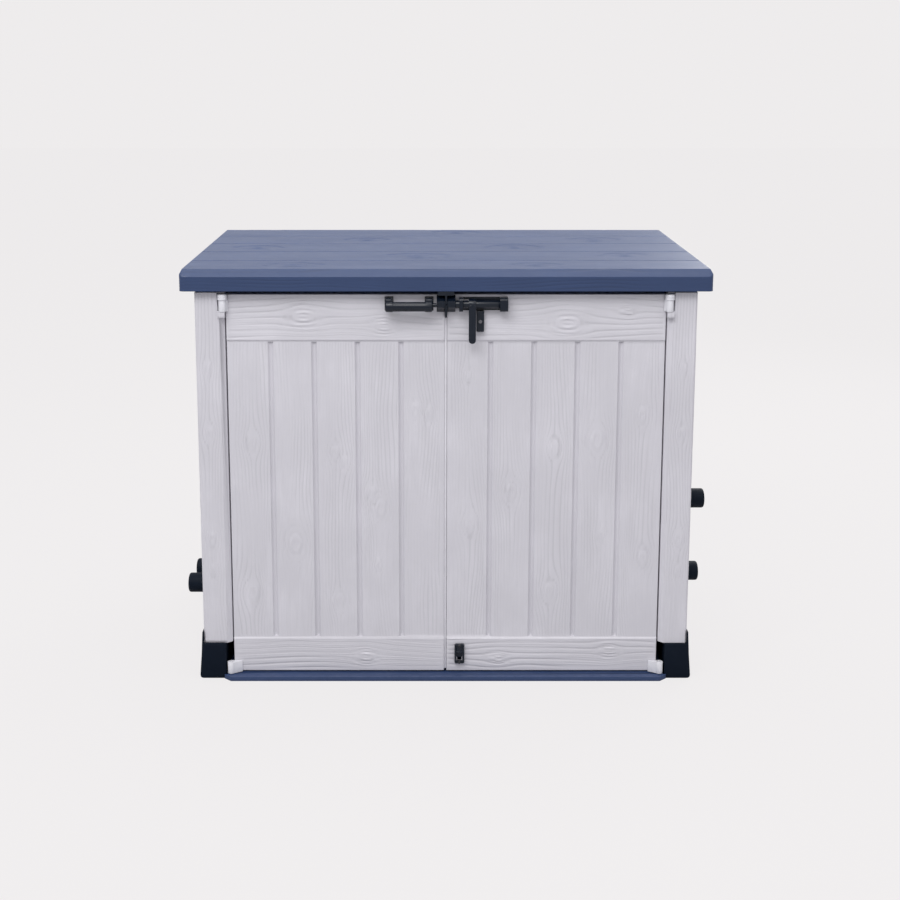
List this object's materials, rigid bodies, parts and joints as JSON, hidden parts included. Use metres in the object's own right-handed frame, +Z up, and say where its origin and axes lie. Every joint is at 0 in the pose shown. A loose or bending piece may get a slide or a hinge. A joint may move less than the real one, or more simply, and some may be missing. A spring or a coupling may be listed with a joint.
{
  "type": "deck storage box",
  "caption": "Tall lidded resin garden storage cabinet: plank-look hinged front doors, lift-up lid on gas struts, slide bolt with padlock tab, corner posts on black feet.",
  "frame": {"origin": "on the ground, under the middle of the floor tray", "axes": "+Z up, -Y out of the doors, +X along the width towards the bolt's door"},
  "size_m": [1.5006, 0.839, 1.2045],
  "materials": {
    "pale_resin": "embossed wood-grain planks, satin",
    "navy_resin": "embossed wood-grain planks, satin",
    "black_resin": "fine-textured moulding, semi-gloss",
    "white_resin": "smooth moulding",
    "black_steel": "black powder coat",
    "bright_steel": "ground and polished rod"
  },
  "bodies": {
    "cabinet": {"base_tray": "navy_resin", "front_foot_left": "black_resin", "front_foot_right": "black_resin", "rear_foot_left": "black_resin", "rear_foot_right": "black_resin", "front_post_left": "pale_resin", "front_post_right": "pale_resin", "rear_post_left": "pale_resin", "rear_post_right": "pale_resin", "side_wall_left": "pale_resin", "side_wall_right": "pale_resin", "rear_wall_left": "pale_resin", "rear_wall_right": "pale_resin", "rear_centre_strip": "pale_resin", "side_peg_left_front": "black_resin", "side_peg_left_rear": "black_resin", "side_peg_right_upper": "black_resin", "side_peg_right_lower": "black_resin", "top_hinge_pin_left": "white_resin", "top_hinge_pin_right": "white_resin", "bottom_pivot_left": "white_resin", "bottom_pivot_right": "white_resin", "lid_hinge_base_left": "black_steel", "lid_hinge_base_right": "black_steel", "lid_hinge_pin_left": "bright_steel", "lid_hinge_pin_right": "bright_steel", "strut_wall_bracket_left": "black_steel", "strut_wall_bracket_right": "black_steel"},
    "lid": {"lid_shell": "navy_resin", "lid_liner": "navy_resin", "lid_lock_blade": "black_resin", "lid_hinge_leaf_left": "black_steel", "lid_hinge_leaf_right": "black_steel", "strut_lid_bracket_left": "black_steel", "strut_lid_bracket_right": "black_steel"},
    "left_door": {"left_door_skin": "pale_resin", "left_door_liner": "pale_resin", "left_door_top_lug": "white_resin", "left_door_bottom_lug": "white_resin", "left_handle": "black_resin", "left_keeper": "black_resin", "meeting_strip": "pale_resin"},
    "right_door": {"right_door_skin": "pale_resin", "right_door_liner": "pale_resin", "right_door_top_lug": "white_resin", "right_door_bottom_lug": "white_resin", "right_keeper": "black_resin", "bolt_housing": "black_resin", "padlock_tab": "black_resin", "latch_housing": "black_resin"},
    "bolt": {"bolt_rod": "black_resin"},
    "lever": {"bolt_lever": "black_resin"},
    "latch": {"latch_slider": "black_resin"},
    "left_strut_tube": {"strut_tube_left": "black_steel"},
    "left_strut_rod": {"strut_rod_left": "bright_steel"},
    "right_strut_tube": {"strut_tube_right": "black_steel"},
    "right_strut_rod": {"strut_rod_right": "bright_steel"}
  },
  "joints": [
    {"name": "lid_hinge", "type": "hinge", "parent": "cabinet", "child": "lid", "pos_m": [0, 0.385, 1.14], "axis": [-1, 0, 0], "range_deg": [0, 80]},
    {"name": "left_door_hinge", "type": "hinge", "parent": "cabinet", "child": "left_door", "pos_m": [-0.613, -0.389, 0.6], "axis": [0, 0, -1], "range_deg": [0, 135]},
    {"name": "right_door_hinge", "type": "hinge", "parent": "cabinet", "child": "right_door", "pos_m": [0.613, -0.389, 0.6], "axis": [0, 0, 1], "range_deg": [0, 135]},
    {"name": "bolt_slide", "type": "slide", "parent": "right_door", "child": "bolt", "axis": [-1, 0, 0], "range_m": [0, 0.015]},
    {"name": "lever_swing", "type": "hinge", "parent": "bolt", "child": "lever", "pos_m": [0.072, -0.396, 1.087], "axis": [-1, 0, 0], "range_deg": [0, 90]},
    {"name": "latch_slide", "type": "slide", "parent": "right_door", "child": "latch", "axis": [0, 0, -1], "range_m": [0, 0.012]},
    {"name": "left_strut_swing", "type": "hinge", "parent": "cabinet", "child": "left_strut_tube", "pos_m": [-0.632, 0.28, 0.88], "axis": [-1, 0, 0], "range_deg": [0, 18.79]},
    {"name": "left_strut_slide", "type": "slide", "parent": "left_strut_tube", "child": "left_strut_rod", "axis": [0, -0.1592, 0.9872], "range_m": [0, 0.1553]},
    {"name": "right_strut_swing", "type": "hinge", "parent": "cabinet", "child": "right_strut_tube", "pos_m": [0.632, 0.28, 0.88], "axis": [-1, 0, 0], "range_deg": [0, 18.79]},
    {"name": "right_strut_slide", "type": "slide", "parent": "right_strut_tube", "child": "right_strut_rod", "axis": [0, -0.1592, 0.9872], "range_m": [0, 0.1553]}
  ],
  "couplings": [
    {"joint": "left_strut_swing", "follows": "lid_hinge", "ratio": 0.23482},
    {"joint": "left_strut_slide", "follows": "lid_hinge", "m_per_rad": 0.11116},
    {"joint": "right_strut_swing", "follows": "lid_hinge", "ratio": 0.23482},
    {"joint": "right_strut_slide", "follows": "lid_hinge", "m_per_rad": 0.11116}
  ]
}
